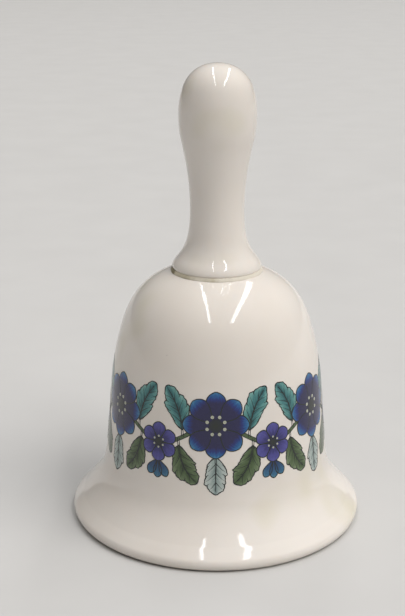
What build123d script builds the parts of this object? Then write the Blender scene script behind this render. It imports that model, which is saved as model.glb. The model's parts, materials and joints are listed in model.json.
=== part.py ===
from build123d import *
from math import acos, atan2, cos, degrees, hypot, radians, sin
import os

# A small porcelain hand bell with a pestle-shaped handle and a ball clapper on a short chain.
#
# The bell stands on its rim at Z = 0 with its axis on +Z. Everything is in millimetres.
# The bell and the hollow handle are two ceramic castings, luted together at the crown. A spring
# wire hanger passes up through the crown hole, and its sprung legs open inside the hollow handle.
# Three chain links hang on its eye, then a wire clapper that carries a loose porcelain ball.

# ---- Driving dimensions -------------------------------------------------------------------

HEIGHT = 127.0  # rim to top of handle
RIM_R = 41.0  # largest radius, at the lip
WALL = 3.2  # ceramic wall of the bell
HANDLE_WALL = 3.0  # ceramic wall of the handle

SEAT_Z = 71.0  # flat land on the crown, under the handle
SEAT_R = 12.2
CROWN_WALL = 3.4  # thickness of the crown over the hollow
CROWN_HOLE_R = 1.9

LIP_ROUND = 2.1  # outer rounding of the lip
LIP_SLOPE_DEG = 46.0  # the skirt's slope below level where the rounding starts
LIP_INNER_ROUND = 0.9
FOOT_FLAT = 1.0  # width of the flat ring that the bell stands on

SLIP_THICK = 0.5  # layer of slip that lutes the handle to the crown
SLIP_R = 11.5
FOOT_EDGE_R = 12.3  # the handle's flared foot
FOOT_EDGE_ROUND = 0.8
FOOT_CAVITY_R = 8.9
HANDLE_R = 10.4  # widest, under the dome
HANDLE_WIDEST_Z = 113.7
DOME_SIDE_R = 22.0  # the dome is three tangent arcs: its side, its shoulder and its cap
DOME_SHOULDER_R = 9.2
DOME_CAP_R = 13.0

HANGER_WIRE_R = 0.5
HANGER_EYE_R = 1.6  # centreline
HANGER_EYE_FLAT = 1.0  # the straight stretch that the chain hangs on
HANGER_EYE_Z = 62.5  # centreline of the eye's lowest point
HANGER_LEG_X = 0.62
HANGER_LEG_SLOPE_DEG = 20.0  # the bent legs above the crown, from level
HANGER_LEG_REACH = 6.4  # from the axis to a leg's end
HANGER_BEND_R = 1.0
HANGER_LIFT = 0.3  # from the crown's top to the underside of the legs at the hole

LINK_WIRE_R = 0.4
LINK_END_R = 1.6  # centreline of a link's round ends
LINK_STRAIGHT = 1.6
LINK_COUNT = 3

CLAPPER_WIRE_R = 0.5
CLAPPER_EYE_R = 1.7
CLAPPER_EYE_KINK_R = 0.9
TIP_EYE_R = 1.2
TIP_EYE_KINK_R = 0.62
KINK_DEG = 70.0
EYE_TURN_DEG = 300.0
BALL_R = 7.5
BALL_Z = 17.0
BALL_BORE_R = 0.58

TOUCH_GAP = 0.06  # between two wires that hang on each other


# ---- Outlines of the two castings, as (radius, height) --------------------------------------

SHOULDER_TO_SKIRT = [
    (SEAT_R, SEAT_Z),
    (18.3, 68.0),
    (23.0, 63.2),
    (26.6, 55.0),
    (29.2, 42.5),
    (30.2, 31.0),
    (31.0, 22.5),
    (32.1, 15.0),
    (34.8, 9.9),
    (38.0, 6.0),
]

FOOT_TO_WIDEST = [
    (FOOT_EDGE_R, SEAT_Z + SLIP_THICK + FOOT_EDGE_ROUND),
    (10.4, 75.3),
    (8.4, 79.2),
    (7.4, 86.5),
    (7.8, 96.0),
    (9.35, 105.0),
    (HANDLE_R, HANDLE_WIDEST_Z),
]


def offset_points(curve, distance, stations):
    """Points at a distance to the right of a curve's direction, in the plane of the outline."""
    points = []
    for t in stations:
        along = curve % t
        points.append((curve @ t) + Vector(along.Y, -along.X) * distance)
    return points


# ---- Ceramic castings -----------------------------------------------------------------------


def make_bell_body():
    """The bell: a revolved wall with a rounded lip, a flat crown seat and the hanger's hole."""
    inner_crown_z = SEAT_Z - CROWN_WALL
    slope = radians(LIP_SLOPE_DEG)
    lip_r = RIM_R - LIP_ROUND
    lip_top = (lip_r + LIP_ROUND * sin(slope), LIP_ROUND * (1 + cos(slope)))
    skirt_end = (cos(slope), -sin(slope))
    with BuildPart() as body:
        with BuildSketch(Plane.XZ):
            with BuildLine():
                outer = Spline([*SHOULDER_TO_SKIRT, lip_top], tangents=[(1, -0.35), skirt_end])
                lip = JernArc(outer @ 1, skirt_end, LIP_ROUND, LIP_SLOPE_DEG - 180)
                foot = Line(lip @ 1, (lip_r - FOOT_FLAT, 0))
                inner_lip = JernArc(foot @ 1, (-1, 0), LIP_INNER_ROUND, -58)
                stations = [0.90, 0.80, 0.70, 0.60, 0.50, 0.40, 0.30, 0.20, 0.12]
                inside = offset_points(outer, WALL, stations)
                hollow = Spline(
                    [inner_lip @ 1, *inside, (CROWN_HOLE_R, inner_crown_z)],
                    tangents=[inner_lip % 1, (-1, 0)],
                )
                Polyline(hollow @ 1, (CROWN_HOLE_R, SEAT_Z), (SEAT_R, SEAT_Z))
            make_face()
        revolve(axis=Axis.Z)
    return body


def dome_joints():
    """The angles above level, in degrees, where the dome's side arc and its shoulder arc end."""
    run = DOME_SIDE_R - HANDLE_R
    rise = HEIGHT - DOME_CAP_R - HANDLE_WIDEST_Z
    span = hypot(run, rise)
    side_arm = DOME_SIDE_R - DOME_SHOULDER_R
    cap_arm = DOME_CAP_R - DOME_SHOULDER_R
    opening = acos((side_arm**2 + span**2 - cap_arm**2) / (2 * side_arm * span))
    side_end = atan2(rise, run) + opening
    shoulder_end = atan2(side_arm * sin(side_end) - rise, side_arm * cos(side_end) - run)
    return degrees(side_end), degrees(shoulder_end)


def make_handle():
    """The hollow handle: a pestle with a flared foot, open below where it meets the crown."""
    foot_z = SEAT_Z + SLIP_THICK
    cap_z = HEIGHT - DOME_CAP_R
    side_end, shoulder_end = dome_joints()
    with BuildPart() as handle:
        with BuildSketch(Plane.XZ):
            with BuildLine():
                outer = Spline(FOOT_TO_WIDEST, tangents=[(-0.25, 1), (0, 1)])
                side = JernArc(outer @ 1, (0, 1), DOME_SIDE_R, side_end)
                JernArc(side @ 1, side % 1, DOME_SHOULDER_R, shoulder_end - side_end)
                CenterArc((0, cap_z), DOME_CAP_R, shoulder_end, 90 - shoulder_end)
                Line((0, HEIGHT), (0, HEIGHT - HANDLE_WALL))
                inner_cap = CenterArc((0, cap_z), DOME_CAP_R - HANDLE_WALL, 90, shoulder_end - 90)
                inner_shoulder = JernArc(
                    inner_cap @ 1, inner_cap % 1, DOME_SHOULDER_R - HANDLE_WALL, side_end - shoulder_end
                )
                hollow_side = JernArc(
                    inner_shoulder @ 1, inner_shoulder % 1, DOME_SIDE_R - HANDLE_WALL, -side_end
                )
                inside = offset_points(outer, -HANDLE_WALL, [0.8, 0.65, 0.5, 0.35, 0.2, 0.12])
                hollow = Spline(
                    [hollow_side @ 1, *inside, (FOOT_CAVITY_R, foot_z)],
                    tangents=[(0, -1), (0.5, -1)],
                )
                foot = Line(hollow @ 1, (FOOT_EDGE_R - FOOT_EDGE_ROUND, foot_z))
                JernArc(foot @ 1, (1, 0), FOOT_EDGE_ROUND, 90)
            make_face()
        revolve(axis=Axis.Z)
    return handle


def make_joint_slip():
    """The ring of slip between the crown's seat and the handle's foot."""
    with BuildPart() as slip:
        with BuildSketch(Plane.XY.offset(SEAT_Z)):
            Circle(SLIP_R)
            Circle(FOOT_CAVITY_R, mode=Mode.SUBTRACT)
        extrude(amount=SLIP_THICK)
    return slip


# ---- Hanger, chain and clapper ----------------------------------------------------------------


def make_hanger():
    """One bent wire in the XZ plane: an eye below, a neck through the crown and two bent legs."""
    eye_centre_z = HANGER_EYE_Z + HANGER_EYE_R
    half_opening = 55.0  # degrees of the eye, each side of its top, that run into the neck
    arm = radians(half_opening)
    half_flat = HANGER_EYE_FLAT / 2
    eye_end = (half_flat + HANGER_EYE_R * sin(arm), eye_centre_z + HANGER_EYE_R * cos(arm))
    neck_foot_z = eye_end[1] + (eye_end[0] - HANGER_LEG_X) * sin(arm) / cos(arm)
    leg_z = SEAT_Z + HANGER_LIFT + HANGER_WIRE_R
    leg_end_z = leg_z + (HANGER_LEG_REACH - HANGER_LEG_X) * sin(radians(HANGER_LEG_SLOPE_DEG))
    with BuildPart() as hanger:
        with BuildLine(Plane.XZ):
            right = FilletPolyline(
                (HANGER_LEG_REACH, leg_end_z),
                (HANGER_LEG_X, leg_z),
                (HANGER_LEG_X, neck_foot_z),
                eye_end,
                radius=[HANGER_BEND_R, 0.6],
            )
            turn = half_opening - 180
            CenterArc((half_flat, eye_centre_z), HANGER_EYE_R, 90 - half_opening, turn)
            Line((half_flat, HANGER_EYE_Z), (-half_flat, HANGER_EYE_Z))
            CenterArc((-half_flat, eye_centre_z), HANGER_EYE_R, -90, turn)
            FilletPolyline(
                (-eye_end[0], eye_end[1]),
                (-HANGER_LEG_X, neck_foot_z),
                (-HANGER_LEG_X, leg_z),
                (-HANGER_LEG_REACH, leg_end_z),
                radius=[0.6, HANGER_BEND_R],
            )
        with BuildSketch(Plane(right @ 0, z_dir=right % 0)):
            Circle(HANGER_WIRE_R)
        sweep()
    return hanger


def make_link(top_z, plane):
    """One oval chain link that hangs with the centre of its top wire at top_z."""
    centre_z = top_z - LINK_END_R - LINK_STRAIGHT / 2
    half = LINK_STRAIGHT / 2
    with BuildPart() as link:
        with BuildLine(plane) as path:
            right = Line((LINK_END_R, centre_z - half), (LINK_END_R, centre_z + half))
            top = CenterArc((0, centre_z + half), LINK_END_R, 0, 180)
            left = Line((-LINK_END_R, centre_z + half), (-LINK_END_R, centre_z - half))
            CenterArc((0, centre_z - half), LINK_END_R, 180, 180)
        ring = path.wires()[0]
        with BuildSketch(Plane(ring @ 0, z_dir=ring % 0)):
            Circle(LINK_WIRE_R)
        sweep(path=ring)
    return link


def make_clapper_wire(eye_top_z):
    """The clapper's wire in the XZ plane: an eye above, a shank, and a smaller eye under the ball."""
    upper = CLAPPER_EYE_KINK_R * sin(radians(KINK_DEG)) + CLAPPER_EYE_R * (1 + sin(radians(KINK_DEG)))
    shank_top = eye_top_z - upper
    shank_foot = BALL_Z - BALL_R - 0.1
    with BuildPart() as wire:
        with BuildLine(Plane.XZ) as path:
            shank = Line((0, shank_foot), (0, shank_top))
            kink = JernArc(shank @ 1, (0, 1), CLAPPER_EYE_KINK_R, KINK_DEG)
            JernArc(kink @ 1, kink % 1, CLAPPER_EYE_R, -EYE_TURN_DEG)
            tip_kink = JernArc(shank @ 0, (0, -1), TIP_EYE_KINK_R, KINK_DEG)
            JernArc(tip_kink @ 1, tip_kink % 1, TIP_EYE_R, -EYE_TURN_DEG)
        run = path.wires()[0]
        with BuildSketch(Plane(run @ 0, z_dir=run % 0)):
            Circle(CLAPPER_WIRE_R)
        sweep(path=run)
    return wire


def make_clapper_ball():
    """The porcelain ball, bored through so that it turns on the wire."""
    with BuildPart() as ball:
        with Locations((0, 0, BALL_Z)):
            Sphere(BALL_R)
            Hole(BALL_BORE_R, depth=2 * BALL_R)
    return ball


def write(built, name):
    built.part.label = name
    export_step(built.part, f"parts/{name}.step")


def main():
    os.makedirs("parts", exist_ok=True)
    write(make_bell_body(), "bell_body")
    write(make_handle(), "handle")
    write(make_joint_slip(), "joint_slip")
    write(make_hanger(), "spring_hanger")
    top_z = HANGER_EYE_Z + HANGER_WIRE_R + LINK_WIRE_R + TOUCH_GAP
    for number in range(1, LINK_COUNT + 1):
        plane = Plane.YZ if number % 2 else Plane.XZ
        write(make_link(top_z, plane), f"chain_link_{number}")
        bottom_z = top_z - 2 * LINK_END_R - LINK_STRAIGHT
        top_z = bottom_z + 2 * LINK_WIRE_R + TOUCH_GAP
    eye_top_z = bottom_z + LINK_WIRE_R + CLAPPER_WIRE_R + TOUCH_GAP
    write(make_clapper_wire(eye_top_z), "clapper_wire")
    write(make_clapper_ball(), "clapper_ball")


main()
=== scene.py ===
"""A small porcelain hand bell: the visual model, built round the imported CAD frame.

Metres, +Z up, the bell stands on Z = 0 and its front faces -Y. The castings are turned again from
the CAD nodes' own outlines. The floral print is thin raised enamel that is wrapped on the waist.
"""

import json
from math import atan2, cos, hypot, pi, radians, sin

import bpy
import numpy as np
from mathutils import Matrix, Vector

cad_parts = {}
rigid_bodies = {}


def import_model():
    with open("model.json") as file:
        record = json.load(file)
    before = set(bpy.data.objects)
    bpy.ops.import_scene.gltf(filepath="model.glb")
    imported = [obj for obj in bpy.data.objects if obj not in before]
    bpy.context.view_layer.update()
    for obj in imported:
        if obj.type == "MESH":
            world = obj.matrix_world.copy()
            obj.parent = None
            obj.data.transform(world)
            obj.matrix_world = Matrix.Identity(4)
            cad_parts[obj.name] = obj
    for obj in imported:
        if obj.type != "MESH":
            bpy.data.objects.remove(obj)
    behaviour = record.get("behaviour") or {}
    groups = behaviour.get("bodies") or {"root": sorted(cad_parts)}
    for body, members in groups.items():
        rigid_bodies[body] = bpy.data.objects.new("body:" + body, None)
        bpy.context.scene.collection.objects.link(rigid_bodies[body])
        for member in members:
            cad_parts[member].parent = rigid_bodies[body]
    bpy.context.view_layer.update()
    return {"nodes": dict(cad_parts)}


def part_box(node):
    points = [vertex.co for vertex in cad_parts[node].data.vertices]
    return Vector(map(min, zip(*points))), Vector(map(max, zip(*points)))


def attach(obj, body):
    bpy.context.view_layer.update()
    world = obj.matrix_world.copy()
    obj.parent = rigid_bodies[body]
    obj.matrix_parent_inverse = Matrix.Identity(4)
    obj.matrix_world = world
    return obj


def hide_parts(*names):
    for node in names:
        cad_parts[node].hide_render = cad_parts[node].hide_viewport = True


for leftover in list(bpy.data.objects):
    bpy.data.objects.remove(leftover)
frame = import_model()

MM = 0.001
RNG = np.random.default_rng(7)
WAIST_BODY = "bell"  # the body that carries both castings and the print

# ---- Driving values -------------------------------------------------------------------------

RING_STEPS = 288  # round the castings
OUTLINE_STEP = 0.55 * MM
CORNER = radians(30)  # a turn in an outline that stays sharp
LINE_RATIO = 5.0  # a leg this many times its neighbour is a straight line
LINE_CORNER = radians(12)  # a turn that stays sharp beside a straight line
CREASE = radians(35)
WOBBLE = 0.05 * MM  # hand-finished unevenness of the waist

PRINT_MM_PER_DEG = 0.527  # band millimetres for each degree round the waist
PRINT_SUNK = -0.03 * MM
PRINT_LAYER = 0.008 * MM
INK_WIDTH = 0.26
LEAF_LOBES = 4
LEAF_NOTCH = 0.14  # how deep the lobes are cut, over the leaf's half width
LEAF_STALK = 0.13  # how far along the midrib the blade starts
PETAL_TIP = 1.7  # how far out a petal is widest: higher is nearer the tip
PRINT_MOTTLE = 0.16
PAINT_GAIN = 0.9  # from a printed colour as seen in the light to its own colour

TUBE_HEIGHT = 3.6
TUBE_FRONT = -2.93
FLOOR_HALF = 14.0
WARM = (1.0, 0.985, 0.965)
WORLD_STRENGTH = 0.08
BACKDROP_STRENGTH = 0.62  # seen by the camera only, past the floor's edge

CAMERA_BACK = 0.3305
CAMERA_UP = 0.1661
CAMERA_PITCH = radians(17.85)
CAMERA_YAW = radians(0.68)
CAMERA_ROLL = radians(0.12)
CAMERA_LENS = 73.1


# ---- Outlines read from the CAD castings -----------------------------------------------------


def meridian(node):
    """A revolved CAD node's outline as (radius, height) rows in order, from one end or corner."""
    mesh = frame["nodes"][node].data
    place = {
        v.index: (round(v.co.x, 7), round(v.co.z, 7))
        for v in mesh.vertices
        if abs(v.co.y) < 1e-7 and v.co.x > -1e-7
    }
    joined = {point: set() for point in place.values()}
    for edge in mesh.edges:
        a, b = (place.get(i) for i in edge.vertices)
        if a and b and a != b:
            joined[a].add(b)
            joined[b].add(a)
    ends = [point for point, near in joined.items() if len(near) == 1]
    here = min(ends or joined, key=lambda point: (point[0], -point[1]))
    row, seen = [here], {here}
    while True:
        ahead = [point for point in joined[here] if point not in seen]
        if not ahead:
            break
        here = max(ahead, key=lambda point: point[0]) if len(row) == 1 else ahead[0]
        row.append(here)
        seen.add(here)
    if not ends:
        row.append(row[0])
    return np.array(row)


def smooth_row(row, step):
    """A row of outline points made dense along a smooth curve that keeps its corners and lines."""
    legs = np.diff(row, axis=0)
    spans = np.hypot(*legs.T)
    aims = legs / spans[:, None]
    leaving, arriving = aims.copy(), aims.copy()
    for i in range(1, len(legs)):
        a, b = aims[i - 1], aims[i]
        turn = abs(atan2(a[0] * b[1] - a[1] * b[0], a @ b))
        beside_line = max(spans[i - 1], spans[i]) > LINE_RATIO * min(spans[i - 1], spans[i])
        if turn > (LINE_CORNER if beside_line else CORNER):
            continue
        shared = a * spans[i] + b * spans[i - 1]
        if beside_line:
            shared = a if spans[i - 1] > spans[i] else b
        arriving[i - 1] = leaving[i] = shared / hypot(*shared)
    dense = []
    for i, span in enumerate(spans):
        count = max(1, round(span / step))
        for t in np.arange(count) / count:
            dense.append(
                row[i] * (1 - 3 * t**2 + 2 * t**3)
                + row[i + 1] * (3 * t**2 - 2 * t**3)
                + leaving[i] * span * (t - 2 * t**2 + t**3)
                + arriving[i] * span * (t**3 - t**2)
            )
    dense = np.array([*dense, row[-1]])
    dense[:, 1] = np.maximum(dense[:, 1], row[:, 1].min())
    return dense


BODY_ROW = smooth_row(meridian("bell_body"), OUTLINE_STEP)
HANDLE_ROW = smooth_row(meridian("handle"), OUTLINE_STEP)
SLIP_LOW, SLIP_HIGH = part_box("joint_slip")
SEAT_Z = SLIP_LOW.z
FOOT_Z = SLIP_HIGH.z


def outside_only():
    """The bell's outer outline from the lip up to the seat, as rising heights and their radii."""
    lip = int(BODY_ROW[:, 0].argmax())
    outer = BODY_ROW[: lip + 1][::-1]
    outer = outer[outer[:, 1] < SEAT_Z - 0.05 * MM]
    return outer[:, 1], outer[:, 0]


OUTER_Z, OUTER_R = outside_only()
OUTER_SLOPE = np.gradient(OUTER_R, OUTER_Z)


def wobble(angle, height):
    """How far the hand-finished wall stands off the true circle, fading out at the lip and seat."""
    fade = np.clip((height - 4 * MM) / (8 * MM), 0, 1) * np.clip((SEAT_Z - 3 * MM - height) / (8 * MM), 0, 1)
    waves = np.sin(2 * angle + 0.8 + height * 25) + 0.5 * np.sin(3 * angle - 1.1 - height * 60)
    return WOBBLE * fade * waves


def wrap(band, lift, half_turn):
    """Band points, in millimetres round and up the waist, on the bell at a lift above its glaze."""
    angle = np.radians(band[:, 0] / PRINT_MM_PER_DEG + half_turn)
    height = band[:, 1] * MM
    radius = np.interp(height, OUTER_Z, OUTER_R) + wobble(angle, height)
    slope = np.interp(height, OUTER_Z, OUTER_SLOPE)
    steep = np.sqrt(1 + slope**2)
    radius = radius + lift / steep
    return np.column_stack([radius * np.sin(angle), -radius * np.cos(angle), height - lift * slope / steep])


# ---- Mesh helpers -----------------------------------------------------------------------------


def make_object(name, points, faces, material):
    """A smooth-shaded mesh object with the creases of its sharp edges kept."""
    mesh = bpy.data.meshes.new(name)
    mesh.from_pydata([tuple(p) for p in points], [], faces)
    mesh.shade_smooth()
    mesh.set_sharp_from_angle(angle=CREASE)
    mesh.materials.append(material)
    made = bpy.data.objects.new(name, mesh)
    bpy.context.scene.collection.objects.link(made)
    return made


def turned(name, row, material, off_round, steps=RING_STEPS):
    """An outline row turned about Z, closed at the axis or into a ring, and a little off round."""
    closed = np.allclose(row[0], row[-1])
    rows = row[:-1] if closed else row
    angles = np.arange(steps) * 2 * pi / steps
    points, rings = [], []
    for radius, height in rows:
        if radius < 1e-6:
            rings.append([len(points)] * steps)
            points.append((0.0, 0.0, height))
            continue
        out = radius + off_round(angles, radius, height)
        rings.append(list(range(len(points), len(points) + steps)))
        points.extend(zip(out * np.sin(angles), -out * np.cos(angles), np.full(steps, height)))
    faces = []
    pairs = list(zip(rings, rings[1:])) + ([(rings[-1], rings[0])] if closed else [])
    for upper, lower in pairs:
        for i in range(steps):
            j = (i + 1) % steps
            corners = [upper[i], lower[i], lower[j], upper[j]]
            faces.append(tuple(dict.fromkeys(corners)))
    return make_object(name, points, faces, material)


# ---- Print helpers: flat shapes in band millimetres, wrapped on the waist -----------------------


class Enamel:
    """Flat printed shapes that become one thin closed relief on the front and the back."""

    def __init__(self):
        self.points, self.lifts, self.marks, self.faces = [], [], [], []

    def add(self, points, faces, layer, marks):
        """Adds one shape, with its faces turned to look out from the bell."""
        band = np.array(points)
        edges = np.array([edge for face in faces for edge in zip(face, (*face[1:], face[0]))])
        a, b = band[edges[:, 0]], band[edges[:, 1]]
        if np.sum(a[:, 0] * b[:, 1] - b[:, 0] * a[:, 1]) < 0:
            faces = [face[::-1] for face in faces]
        start = len(self.points)
        self.points.extend(points)
        self.lifts.extend([layer * PRINT_LAYER] * len(points))
        self.marks.extend(marks)
        self.faces.extend(tuple(start + i for i in face) for face in faces)

    def build(self, name, material):
        """Wraps the shapes on both halves of the waist and closes each into a thin solid."""
        band, lifts = np.array(self.points), np.array(self.lifts)
        count = len(band)
        uses = {}
        for face in self.faces:
            for a, b in zip(face, (*face[1:], face[0])):
                uses[(a, b)] = True
        rim = [(a, b) for a, b in uses if (b, a) not in uses]
        points, faces = [], []
        for half_turn in (0.0, 180.0):
            top = len(points)
            under = top + count
            points.extend(wrap(band, lifts, half_turn))
            points.extend(wrap(band, np.full(count, PRINT_SUNK), half_turn))
            faces.extend(tuple(top + i for i in face) for face in self.faces)
            faces.extend(tuple(under + i for i in reversed(face)) for face in self.faces)
            faces.extend((top + b, top + a, under + a, under + b) for a, b in rim)
        made = make_object(name, points, faces, material)
        marks = np.tile(np.array(self.marks, dtype=np.float32), (4, 1))
        layer = made.data.attributes.new("print", "FLOAT_VECTOR", "POINT")
        layer.data.foreach_set("vector", marks.ravel())
        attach(made, WAIST_BODY)
        return made


def grid_faces(rows, columns, closed=False):
    """Quads between rows of points, each row joined to itself if closed."""
    faces = []
    for i in range(rows - 1):
        for j in range(columns if closed else columns - 1):
            k = (j + 1) % columns
            faces.append((i * columns + j, i * columns + k, (i + 1) * columns + k, (i + 1) * columns + j))
    return faces


def at(degrees, height):
    """A place on the band, from degrees round the waist and millimetres up."""
    return np.array([degrees * PRINT_MM_PER_DEG, height])


def bend(start, middle, end, count, first=0.0):
    """Points along a quadratic curve that leaves start towards middle and comes in to end."""
    t = np.linspace(first, 1, count)[:, None]
    return (1 - t) ** 2 * start + 2 * t * (1 - t) * middle + t**2 * end


def normals_of(line, closed=False):
    """Unit normals on the left of a line of points."""
    if closed:
        along = np.roll(line, -1, axis=0) - np.roll(line, 1, axis=0)
    else:
        along = np.gradient(line, axis=0)
    along /= np.hypot(*along.T)[:, None] + 1e-9
    return np.column_stack([-along[:, 1], along[:, 0]])


def stroke(enamel, line, widths, layer, closed=False, mark=(0.5, 0.5, 0.5)):
    """A drawn line of varying width."""
    line = np.asarray(line, dtype=float)
    half = np.broadcast_to(np.asarray(widths, dtype=float) / 2, len(line))[:, None]
    side = normals_of(line, closed)
    left, right = line + side * half, line - side * half
    points = np.empty((2 * len(line), 2))
    points[0::2], points[1::2] = left, right
    rows = len(line)
    faces = []
    for i in range(rows if closed else rows - 1):
        k = (i + 1) % rows
        faces.append((2 * i, 2 * i + 1, 2 * k + 1, 2 * k))
    enamel.add(points, faces, layer, [mark] * len(points))


def leaf(fill, ink, start, middle, end, width, layer):
    """A plain lobed leaf on a stalk, along a curved midrib, with veins in ink."""
    fine = 14  # samples along each lobe
    count = LEAF_LOBES * fine + 1
    spine = bend(start, middle, end, count, first=LEAF_STALK)
    side = normals_of(spine)
    along = np.column_stack([side[:, 1], -side[:, 0]])
    t = np.linspace(0, 1, count)
    swell = width * np.sin(pi * t**0.80) ** 0.62
    sides = []
    for sign in (1, -1):
        shift = 0.30 * RNG.random()
        phase = (t * LEAF_LOBES + shift) % 1.0
        bump = np.clip(phase / 0.62, 0, 1) ** 0.6 * np.sqrt(np.clip((1 - phase) / 0.38, 0, 1))
        uneven = 1 + 0.10 * np.sin(t * 11 + 6 * RNG.random())
        cut = 1 - LEAF_NOTCH + LEAF_NOTCH * bump + 0.06 * np.abs(np.sin(2.5 * pi * phase))
        edge = swell * uneven * cut + 0.03
        lean = 0.52 * edge * (0.65 + 0.35 * bump) * (1 - t) ** 0.2
        sides.append((sign, shift, bump, edge, lean))
    seed = float(RNG.random())
    points, marks = [], []
    for v in np.linspace(1, -1, 11):
        sign, shift, bump, edge, lean = sides[0 if v >= 0 else 1]
        points.append(spine + side * (edge * v)[:, None] + along * (lean * v * v)[:, None])
        tint = abs(v) * (0.68 + 0.32 * bump)
        marks.append(np.column_stack([tint, t * LEAF_LOBES - 0.9 * abs(v), np.full(count, seed)]))
    fill.add(np.vstack(points), grid_faces(len(points), count), layer, np.vstack(marks))
    outline = np.vstack([points[0], points[-1][::-1]])
    weight = np.concatenate([1.35 - 0.45 * sides[0][2], (1.35 - 0.45 * sides[1][2])[::-1]])
    stroke(ink, outline, weight * INK_WIDTH, layer + 1, closed=True)
    rib = bend(start, middle, end, 40)[:-3]
    rib_side = normals_of(rib)
    gap = np.linspace(0.42, 0.0, len(rib))[:, None] ** 1.5
    for sign in (1, -1):
        stroke(ink, rib + rib_side * gap * sign, np.linspace(0.75, 0.65, len(rib)) * INK_WIDTH, layer + 1)
    reach = 0.84  # how far a vein runs towards the leaf's edge
    for sign, shift, bump, edge, lean in sides:
        for lobe in range(LEAF_LOBES):
            tip = int(np.clip((lobe + 0.5 - shift) * fine, 3, count - 4))
            root = max(0, tip - int(0.62 * fine))
            target = spine[tip] + side[tip] * reach * edge[tip] * sign + along[tip] * lean[tip] * reach**2
            knee = (spine[root] + target) / 2 + along[root] * 0.14 * edge[tip]
            widths = np.linspace(0.80, 0.25, 8) * INK_WIDTH
            stroke(ink, bend(spine[root], knee, target, 8), widths, layer + 1)
        for lobe in range(1, LEAF_LOBES):
            notch = int(np.clip((lobe - shift) * fine, 1, count - 2))
            lip = spine[notch] + side[notch] * edge[notch] * sign + along[notch] * lean[notch]
            inward = spine[max(0, notch - fine // 2)]
            inner = lip + (inward - lip) * 0.30
            widths = np.linspace(1.1, 0.3, 5) * INK_WIDTH
            stroke(ink, bend(lip, (lip + inner) / 2, inner, 5), widths, layer + 1)


def petal(fill, ink, centre, angle, length, width, layer, base):
    """A rounded petal that grows from a flower's centre, with an ink outline."""
    count = 25
    u = np.linspace(0, 1, count)
    aim = np.array([cos(angle), sin(angle)])
    across_aim = np.array([-aim[1], aim[0]])
    edge = width * np.sin(pi * u**PETAL_TIP * 0.985 + 0.02) ** 0.62
    across = np.linspace(1, -1, 9)
    points, marks = [], []
    seed = float(RNG.random())
    for v in across:
        reach = base + u * (length - base)
        row = centre + reach[:, None] * aim + (edge * v)[:, None] * across_aim
        points.append(row)
        marks.append(np.column_stack([u, np.full(count, v), np.full(count, seed)]))
    fill.add(np.vstack(points), grid_faces(len(across), count), layer, np.vstack(marks))
    outline = np.vstack([points[0], points[-1][::-1]])
    stroke(ink, outline, INK_WIDTH, layer + 1, closed=True)


def disc(fill, centre, radius, layer, rings, steps):
    """A filled circle, marked from 0 at its centre to 1 at its rim."""
    angles = np.arange(steps) * 2 * pi / steps
    aims = np.column_stack([np.cos(angles), np.sin(angles)])
    points, marks = [centre[None, :]], [np.array([[0.0, 1.0, 0.0]])]
    for ring in range(1, rings + 1):
        t = ring / rings
        points.append(centre + aims * (radius * t))
        marks.append(np.column_stack([np.full(steps, t), aims]))
    faces = [(0, 1 + i, 1 + (i + 1) % steps) for i in range(steps)]
    for a, b, c, d in grid_faces(rings, steps, closed=True):
        faces.append((1 + a, 1 + d, 1 + c, 1 + b))
    fill.add(np.vstack(points), faces, layer, np.vstack(marks))


# ---- Materials ----------------------------------------------------------------------------------


def linear(red, green, blue, gain=1.0):
    """A screen colour from 0 to 255 as linear values, brightened by a gain."""
    values = [c / 255 for c in (red, green, blue)]
    values = [v / 12.92 if v <= 0.04045 else ((v + 0.055) / 1.055) ** 2.4 for v in values]
    return tuple(min(1.0, v * gain) for v in values)


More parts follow.
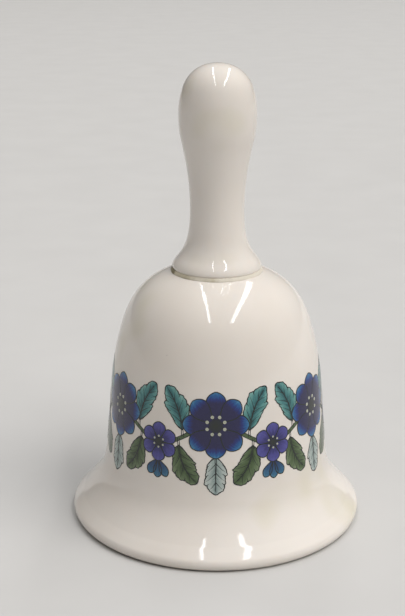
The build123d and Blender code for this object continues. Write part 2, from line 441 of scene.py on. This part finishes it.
class Nodes:
    """Short calls for building one material's node tree."""

    def __init__(self, name):
        self.material = bpy.data.materials.new(name)
        self.material.use_nodes = True
        self.tree = self.material.node_tree
        self.shader = next(n for n in self.tree.nodes if n.type == "BSDF_PRINCIPLED")

    def node(self, kind, **settings):
        made = self.tree.nodes.new("ShaderNode" + kind)
        for key, value in settings.items():
            setattr(made, key, value)
        return made

    def join(self, source, target):
        self.tree.links.new(source, target)

    def set(self, **values):
        for key, value in values.items():
            self.shader.inputs[key.replace("_", " ")].default_value = value

    def place(self):
        return self.node("TexCoord").outputs["Object"]

    def noise(self, vector, scale, detail=3.0, roughness=0.5, distortion=0.0):
        made = self.node("TexNoise")
        made.inputs["Scale"].default_value = scale
        made.inputs["Detail"].default_value = detail
        made.inputs["Roughness"].default_value = roughness
        made.inputs["Distortion"].default_value = distortion
        self.join(vector, made.inputs["Vector"])
        return made.outputs["Fac"]

    def ramp(self, factor, stops):
        made = self.node("ValToRGB")
        made.color_ramp.interpolation = "EASE" if len(stops) > 2 else "LINEAR"
        elements = made.color_ramp.elements
        while len(elements) < len(stops):
            elements.new(0.5)
        for element, (position, colour) in zip(elements, stops):
            element.position = position
            element.color = (*colour, 1.0)
        self.join(factor, made.inputs["Fac"])
        return made.outputs["Color"]

    def span(self, value, low, high, out_low=0.0, out_high=1.0):
        made = self.node("MapRange")
        for key, number in zip(("From Min", "From Max", "To Min", "To Max"), (low, high, out_low, out_high)):
            made.inputs[key].default_value = number
        self.join(value, made.inputs["Value"])
        return made.outputs["Result"]

    def math(self, operation, a, b):
        made = self.node("Math", operation=operation)
        for socket, value in zip(made.inputs, (a, b)):
            if isinstance(value, (int, float)):
                socket.default_value = value
            else:
                self.join(value, socket)
        return made.outputs["Value"]

    def mix(self, factor, a, b, blend="MIX"):
        made = self.node("Mix", data_type="RGBA", blend_type=blend)
        for socket, value in zip((made.inputs[0], made.inputs[6], made.inputs[7]), (factor, a, b)):
            if isinstance(value, (int, float)):
                socket.default_value = value
            elif isinstance(value, tuple):
                socket.default_value = (*value, 1.0)
            else:
                self.join(value, socket)
        return made.outputs[2]

    def bump(self, height, strength, distance):
        made = self.node("Bump")
        made.inputs["Strength"].default_value = strength
        made.inputs["Distance"].default_value = distance
        self.join(height, made.inputs["Height"])
        self.join(made.outputs["Normal"], self.shader.inputs["Normal"])


GLAZE_ROUGHNESS = 0.07
GLAZE_IOR = 1.52


def porcelain(name, white, cream, foot=False):
    """Warm white porcelain under a clear glaze: soft clouding, faint stains, kiln specks."""
    m = Nodes(name)
    place = m.place()
    clouds = m.noise(place, 22.0, detail=4.0, distortion=0.4)
    colour = m.ramp(clouds, [(0.34, cream), (0.62, white)])
    stains = m.span(m.noise(place, 31.0, detail=2.0), 0.60, 0.74)
    colour = m.mix(m.math("MULTIPLY", stains, 0.60), colour, linear(206, 200, 166))
    cells = m.node("TexVoronoi")
    cells.inputs["Scale"].default_value = 85.0
    m.join(place, cells.inputs["Vector"])
    lucky = m.node("SeparateColor")
    m.join(cells.outputs["Color"], lucky.inputs["Color"])
    dot = m.span(cells.outputs["Distance"], 0.018, 0.034, 1.0, 0.0)
    dot = m.math("MULTIPLY", dot, m.math("GREATER_THAN", lucky.outputs["Red"], 0.86))
    colour = m.mix(m.math("MULTIPLY", dot, 0.75), colour, linear(92, 80, 62))
    rough = m.span(m.noise(place, 140.0, detail=2.0), 0.3, 0.7, GLAZE_ROUGHNESS * 0.7, GLAZE_ROUGHNESS * 1.4)
    if foot:
        axis = m.node("SeparateXYZ")
        m.join(place, axis.inputs["Vector"])
        bare = m.span(axis.outputs["Z"], 0.25 * MM, 0.6 * MM, 1.0, 0.0)
        grit = m.ramp(m.noise(place, 900.0), [(0.35, linear(168, 156, 136)), (0.65, linear(205, 196, 180))])
        colour = m.mix(bare, colour, grit)
        rough = m.math("MAXIMUM", rough, m.math("MULTIPLY", bare, 0.62))
    m.join(colour, m.shader.inputs["Base Color"])
    m.join(rough, m.shader.inputs["Roughness"])
    m.set(IOR=GLAZE_IOR, Subsurface_Weight=0.12, Subsurface_Scale=0.0015)
    m.shader.inputs["Subsurface Radius"].default_value = (1.0, 0.75, 0.55)
    ripple = m.math("ADD", m.noise(place, 55.0, detail=1.0), m.math("MULTIPLY", m.noise(place, 420.0), 0.05))
    m.bump(ripple, 0.10, 0.6 * MM)
    return m.material


def printed(name, stops, grain=(2.0, 6.0, 9.0), streak=0.16):
    """Glossy printed enamel: a ramp over the print's own marks, broken by brush streaks."""
    m = Nodes(name)
    marks = m.node("Attribute", attribute_name="print").outputs["Vector"]
    stretch = m.node("VectorMath", operation="MULTIPLY")
    stretch.inputs[1].default_value = grain
    m.join(marks, stretch.inputs[0])
    streaks = m.noise(stretch.outputs["Vector"], 1.0, detail=4.0, roughness=0.6)
    axis = m.node("SeparateXYZ")
    m.join(marks, axis.inputs["Vector"])
    shifted = m.math("ADD", axis.outputs["X"], m.span(streaks, 0.25, 0.75, -streak, streak))
    colour = m.ramp(shifted, [(position, linear(*rgb, PAINT_GAIN)) for position, rgb in stops])
    dots = m.noise(m.place(), 2600.0, detail=1.0)
    colour = m.mix(1.0, colour, m.ramp(dots, [(0.3, (1 - PRINT_MOTTLE,) * 3), (0.7, (1.0,) * 3)]), "MULTIPLY")
    m.join(colour, m.shader.inputs["Base Color"])
    m.set(IOR=GLAZE_IOR, Roughness=GLAZE_ROUGHNESS * 1.3)
    m.bump(dots, 0.05, 0.02 * MM)
    return m.material


def wire_steel(name, bright, dull):
    """Drawn steel wire with fine draw lines and a little tarnish."""
    m = Nodes(name)
    place = m.place()
    tarnish = m.noise(place, 420.0, detail=5.0)
    m.join(m.ramp(tarnish, [(0.30, dull), (0.66, bright)]), m.shader.inputs["Base Color"])
    m.join(m.span(tarnish, 0.3, 0.7, 0.42, 0.22), m.shader.inputs["Roughness"])
    m.set(Metallic=1.0)
    m.bump(m.noise(place, 5200.0, detail=2.0), 0.15, 0.02 * MM)
    return m.material


def slip_line(name):
    """The luting slip at the foot of the handle: beige with settled grime, and painted shade that makes it
    darkest on the left.
    """
    m = Nodes(name)
    place = m.place()
    axis = m.node("SeparateXYZ")
    m.join(place, axis.inputs["Vector"])
    # Painted shade: the slip is made darker towards -X, the left, which is the side turned away from the key
    # light.
    side = m.span(axis.outputs["X"], -12.5 * MM, 11.0 * MM)
    # Painted shade from the line above, plus random settled grime from the noise.
    grime_and_shade = m.math("ADD", side, m.span(m.noise(place, 190.0, detail=4.0), 0.3, 0.7, -0.22, 0.22))
    stops = [(0.02, linear(126, 116, 86)), (0.20, linear(200, 191, 168)), (0.50, linear(226, 219, 205))]
    m.join(m.ramp(grime_and_shade, stops), m.shader.inputs["Base Color"])
    m.join(m.span(m.noise(place, 800.0), 0.3, 0.7, 0.35, 0.6), m.shader.inputs["Roughness"])
    m.bump(m.noise(place, 1500.0), 0.3, 0.05 * MM)
    return m.material


def floor_paper(name):
    """A plain pale studio floor with the slightest tooth."""
    m = Nodes(name)
    place = m.place()
    m.join(
        m.ramp(m.noise(place, 30.0), [(0.3, (0.555, 0.547, 0.536)), (0.7, (0.575, 0.567, 0.556))]),
        m.shader.inputs["Base Color"],
    )
    m.set(Roughness=0.85)
    m.bump(m.noise(place, 1800.0), 0.05, 0.1 * MM)
    return m.material


PORCELAIN = porcelain("porcelain_glaze", (0.80, 0.752, 0.700), (0.75, 0.695, 0.635), foot=True)
BALL_GLAZE = porcelain("ball_glaze", (0.80, 0.755, 0.705), (0.75, 0.70, 0.64))
SLIP = slip_line("slip")
SPRING_WIRE = wire_steel("spring_wire", (0.62, 0.60, 0.57), (0.50, 0.475, 0.44))
CHAIN_WIRE = wire_steel("chain_wire", (0.66, 0.64, 0.60), (0.55, 0.525, 0.485))

INK = printed("print_ink", [(0.0, (20, 30, 28)), (1.0, (36, 46, 44))])
PALE = printed(
    "print_pale_leaf",
    [(0.0, (132, 150, 148)), (0.30, (164, 180, 176)), (0.65, (188, 200, 196)), (1.0, (208, 214, 208))],
    grain=(1.5, 5.0, 9.0), streak=0.30,
)
TEAL = printed(
    "print_teal_leaf",
    [(0.0, (42, 90, 94)), (0.35, (70, 130, 132)), (0.7, (100, 158, 154)), (1.0, (138, 184, 176))],
    grain=(1.5, 4.0, 9.0), streak=0.34,
)
GREEN = printed(
    "print_green_leaf",
    [(0.0, (54, 72, 44)), (0.35, (80, 100, 64)), (0.7, (100, 120, 84)), (1.0, (128, 144, 110))],
    grain=(1.5, 4.0, 9.0), streak=0.34,
)
BLUE = printed(
    "print_blue_flower",
    [
        (0.0, (40, 40, 76)), (0.64, (42, 41, 84)), (0.75, (36, 52, 122)), (0.87, (36, 92, 154)),
        (1.0, (68, 136, 176)),
    ],
    grain=(1.5, 8.0, 8.0), streak=0.09,
)
VIOLET = printed(
    "print_violet_petal",
    [(0.0, (34, 32, 68)), (0.35, (56, 54, 116)), (0.70, (78, 76, 150)), (1.0, (92, 92, 166))],
    grain=(1.5, 3.0, 9.0), streak=0.20,
)
SEA = printed(
    "print_sea_petal",
    [(0.0, (38, 44, 88)), (0.45, (40, 76, 120)), (0.8, (50, 106, 142)), (1.0, (80, 134, 158))],
    grain=(1.5, 3.0, 9.0), streak=0.22,
)
CREAM = printed("print_stamen", [(0.0, (176, 180, 156)), (1.0, (204, 206, 190))])
MOSS = printed("print_moss_centre", [(0.0, (46, 52, 44)), (1.0, (40, 44, 54))], streak=0.3)


# ---- Castings -------------------------------------------------------------------------------------


def off_round_bell(angles, radius, height):
    """The waist's unevenness, on the outside of the wall only."""
    outer = np.interp(height, OUTER_Z, OUTER_R)
    return wobble(angles, height) if abs(radius - outer) < 0.3 * MM else 0.0


def off_round_handle(angles, radius, height):
    """The handle's own slight lean out of round, none at its foot."""
    fade = np.clip((height - FOOT_Z - 3 * MM) / (10 * MM), 0, 1)
    return 0.8 * WOBBLE * fade * np.sin(2 * angles + height * 40) * min(1.0, radius / (5 * MM))


bell = turned("bell_casting", BODY_ROW, PORCELAIN, off_round=off_round_bell)
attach(bell, WAIST_BODY)
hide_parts("bell_body")

handle = turned("handle_casting", HANDLE_ROW, PORCELAIN, steps=256, off_round=off_round_handle)
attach(handle, WAIST_BODY)
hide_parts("handle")


def seam_ring():
    """The slip, with a bead of glaze and settled grime that fills the groove round the handle's foot; its
    material carries painted shade, darkest on the left.
    """
    inner = SLIP_HIGH.x - 2.6 * MM
    edge = HANDLE_ROW[HANDLE_ROW[:, 1] < FOOT_Z + 2 * MM][:, 0].max()
    row = np.array([
        (inner, SEAT_Z), (inner, FOOT_Z), (edge - 0.9 * MM, FOOT_Z), (edge - 0.30 * MM, FOOT_Z + 0.34 * MM),
        (edge - 0.02 * MM, FOOT_Z + 0.26 * MM), (edge + 0.14 * MM, FOOT_Z - 0.02 * MM),
        (edge + 0.34 * MM, SEAT_Z - 0.02 * MM),
        (edge + 0.34 * MM, SEAT_Z - 0.14 * MM), (edge - 0.4 * MM, SEAT_Z - 0.02 * MM), (inner, SEAT_Z),
    ])

    def ragged(angles, radius, height):
        if radius < edge - 0.2 * MM:
            return 0.0
        left = 0.5 - 0.5 * np.sin(angles)
        waves = np.sin(5 * angles + 1) + 0.7 * np.sin(11 * angles + 2) + 0.5 * np.sin(23 * angles)
        return (0.12 * (left - 0.5) + 0.04 * waves) * MM

    return turned("seam_slip", row, SLIP, off_round=ragged)


seam = seam_ring()
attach(seam, WAIST_BODY)
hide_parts("joint_slip")

for node, material in (
    ("spring_hanger", SPRING_WIRE),
    ("chain_link_1", CHAIN_WIRE),
    ("chain_link_2", CHAIN_WIRE),
    ("chain_link_3", CHAIN_WIRE),
    ("clapper_wire", SPRING_WIRE),
    ("clapper_ball", BALL_GLAZE),
):
    frame["nodes"][node].data.materials[0] = material


# ---- The floral band: a plain running border, the same unit six times round the waist --------------

VINE_LAYER, LEAVES_LAYER, FLOWER_LAYER, OVER_LAYER = 1, 3, 6, 11
UNIT = 60  # degrees round the waist to each repeat
BAND_MIDDLE = 34.0  # millimetres up, where the vine's wave is centred
VINE_WAVE = 3.0
VINE_WIDTH = 1.0

ink = Enamel()
pale, teal, green = Enamel(), Enamel(), Enamel()
blue, violet, sea, cream, moss = Enamel(), Enamel(), Enamel(), Enamel(), Enamel()


def vine_height(degrees):
    """A wave with a crest at each large flower and a trough at each small one."""
    return BAND_MIDDLE + VINE_WAVE * np.cos(2 * pi * degrees / UNIT)


def vine():
    """The stem that the border runs along: a filled stroke between two ink lines."""
    degrees = np.linspace(-90, 90, 181)
    line = np.column_stack([degrees * PRINT_MM_PER_DEG, vine_height(degrees)])
    stroke(green, line, VINE_WIDTH, VINE_LAYER, mark=(0.45, 0.5, 0.5))
    side = normals_of(line) * VINE_WIDTH / 2
    for edge in (line + side, line - side):
        stroke(ink, edge, 0.75 * INK_WIDTH, VINE_LAYER + 1)


def rosette(fill, centre, reach, count, wide):
    """A plain round flower: equal petals, a moss centre and a ring of stamens."""
    for step in range(count):
        angle = pi / 2 + step * 2 * pi / count
        layer = FLOWER_LAYER + 2 * (step % 2)
        petal(fill, ink, centre, angle, reach, wide * reach, layer, base=0.1 * reach)
    disc(moss, centre, 0.20 * reach, OVER_LAYER, rings=4, steps=60)
    for step in range(count):
        angle = (step + 0.5) * 2 * pi / count
        dot = centre + 0.28 * reach * np.array([cos(angle), sin(angle)])
        disc(cream, dot, 0.05 * reach, OVER_LAYER + 1, rings=2, steps=16)


def border_leaf(fill, degrees, rises, width):
    """A plain leaf from three places, in degrees round and in millimetres above the band's middle."""
    start, middle, end = (at(turn, BAND_MIDDLE + rise) for turn, rise in zip(degrees, rises))
    leaf(fill, ink, start, middle, end, width, LEAVES_LAYER)


vine()
for unit in (-1, 0, 1):
    large, small = unit * UNIT, (unit + 0.5) * UNIT
    rosette(blue, at(large, vine_height(large)), reach=9.0, count=8, wide=0.30)
    rosette(violet, at(small, vine_height(small)), reach=5.4, count=6, wide=0.36)
    for side in (-1, 1):
        border_leaf(teal, (large + 17 * side, large + 17 * side, large + 27 * side), (-0.6, 7, 12.5), 3.0)
        border_leaf(green, (large + 19 * side, large + 19 * side, large + 9 * side), (-1, -9, -13), 3.0)
    border_leaf(pale, (large, large, large), (-4, -10, -16), 2.8)
    for degrees in (-120, -90, -60):
        root = at(small, BAND_MIDDLE - 7.5)
        petal(sea, ink, root, radians(degrees), 5.5, 1.3, LEAVES_LAYER, base=0.5)

for name, enamel, material in (
    ("print_ink_lines", ink, INK),
    ("print_pale_leaves", pale, PALE),
    ("print_teal_leaves", teal, TEAL),
    ("print_green_leaves", green, GREEN),
    ("print_blue_flowers", blue, BLUE),
    ("print_violet_flowers", violet, VIOLET),
    ("print_sea_buds", sea, SEA),
    ("print_stamens", cream, CREAM),
    ("print_moss_centres", moss, MOSS),
):
    enamel.build(name, material)


# ---- Stage, light and camera ----------------------------------------------------------------------


def soft_sun(name, degrees_round, degrees_up, spread, strength, colour):
    """An even soft light from one direction, in degrees from the front, unseen in the glaze."""
    data = bpy.data.lights.new(name, "SUN")
    data.angle = radians(spread)
    data.energy = strength
    data.color = colour
    lamp = bpy.data.objects.new(name, data)
    bpy.context.scene.collection.objects.link(lamp)
    lamp.rotation_euler = (pi / 2 - radians(degrees_up), 0, radians(degrees_round))
    lamp.location = (0, 0, TUBE_HEIGHT)
    lamp.visible_glossy = False


def ceiling_tube(name, across, size, power):
    """A long light overhead that runs from front to back, seen as a streak in the glaze."""
    data = bpy.data.lights.new(name, "AREA")
    data.shape = "RECTANGLE"
    data.size, data.size_y = size
    data.energy = power
    lamp = bpy.data.objects.new(name, data)
    bpy.context.scene.collection.objects.link(lamp)
    lamp.location = (across, TUBE_FRONT + size[1] / 2, TUBE_HEIGHT)


soft_sun("key_right", degrees_round=62, degrees_up=46, spread=44, strength=1.55, colour=(1.0, 0.975, 0.945))
soft_sun("fill_left", degrees_round=-60, degrees_up=40, spread=50, strength=0.06, colour=WARM)
soft_sun("overhead_soft", degrees_round=0, degrees_up=90, spread=110, strength=0.80, colour=WARM)
ceiling_tube("tube_left", across=-0.58, size=(0.12, 6.2), power=35)
ceiling_tube("tube_right", across=1.39, size=(0.26, 6.2), power=69)


def studio_world():
    """Dim, even light from all round, and a pale backdrop where the camera looks past the floor."""
    world = bpy.data.worlds.new("studio")
    world.use_nodes = True
    nodes, links = world.node_tree.nodes, world.node_tree.links
    light = nodes["Background"]
    light.inputs["Color"].default_value = (*WARM, 1.0)
    light.inputs["Strength"].default_value = WORLD_STRENGTH
    backdrop = nodes.new("ShaderNodeBackground")
    backdrop.inputs["Color"].default_value = (1.0, 0.99, 0.975, 1.0)
    backdrop.inputs["Strength"].default_value = BACKDROP_STRENGTH
    ray = nodes.new("ShaderNodeLightPath")
    mix = nodes.new("ShaderNodeMixShader")
    links.new(ray.outputs["Is Camera Ray"], mix.inputs["Fac"])
    links.new(light.outputs["Background"], mix.inputs[1])
    links.new(backdrop.outputs["Background"], mix.inputs[2])
    links.new(mix.outputs["Shader"], nodes["World Output"].inputs["Surface"])
    return world


bpy.context.scene.world = studio_world()
bpy.context.scene.view_settings.view_transform = "Standard"

floor_corners = [(x * FLOOR_HALF, y * FLOOR_HALF, 0) for x, y in ((-1, -1), (1, -1), (1, 1), (-1, 1))]
make_object("floor", floor_corners, [(0, 1, 2, 3)], floor_paper("floor_paper"))

camera_data = bpy.data.cameras.new("camera")
camera_data.lens = CAMERA_LENS
camera_data.clip_start = 0.01
camera = bpy.data.objects.new("camera", camera_data)
bpy.context.scene.collection.objects.link(camera)
camera.matrix_world = (
    Matrix.Translation((0, -CAMERA_BACK, CAMERA_UP))
    @ Matrix.Rotation(CAMERA_YAW, 4, "Z")
    @ Matrix.Rotation(pi / 2 - CAMERA_PITCH, 4, "X")
    @ Matrix.Rotation(CAMERA_ROLL, 4, "Z")
)
bpy.context.scene.camera = camera
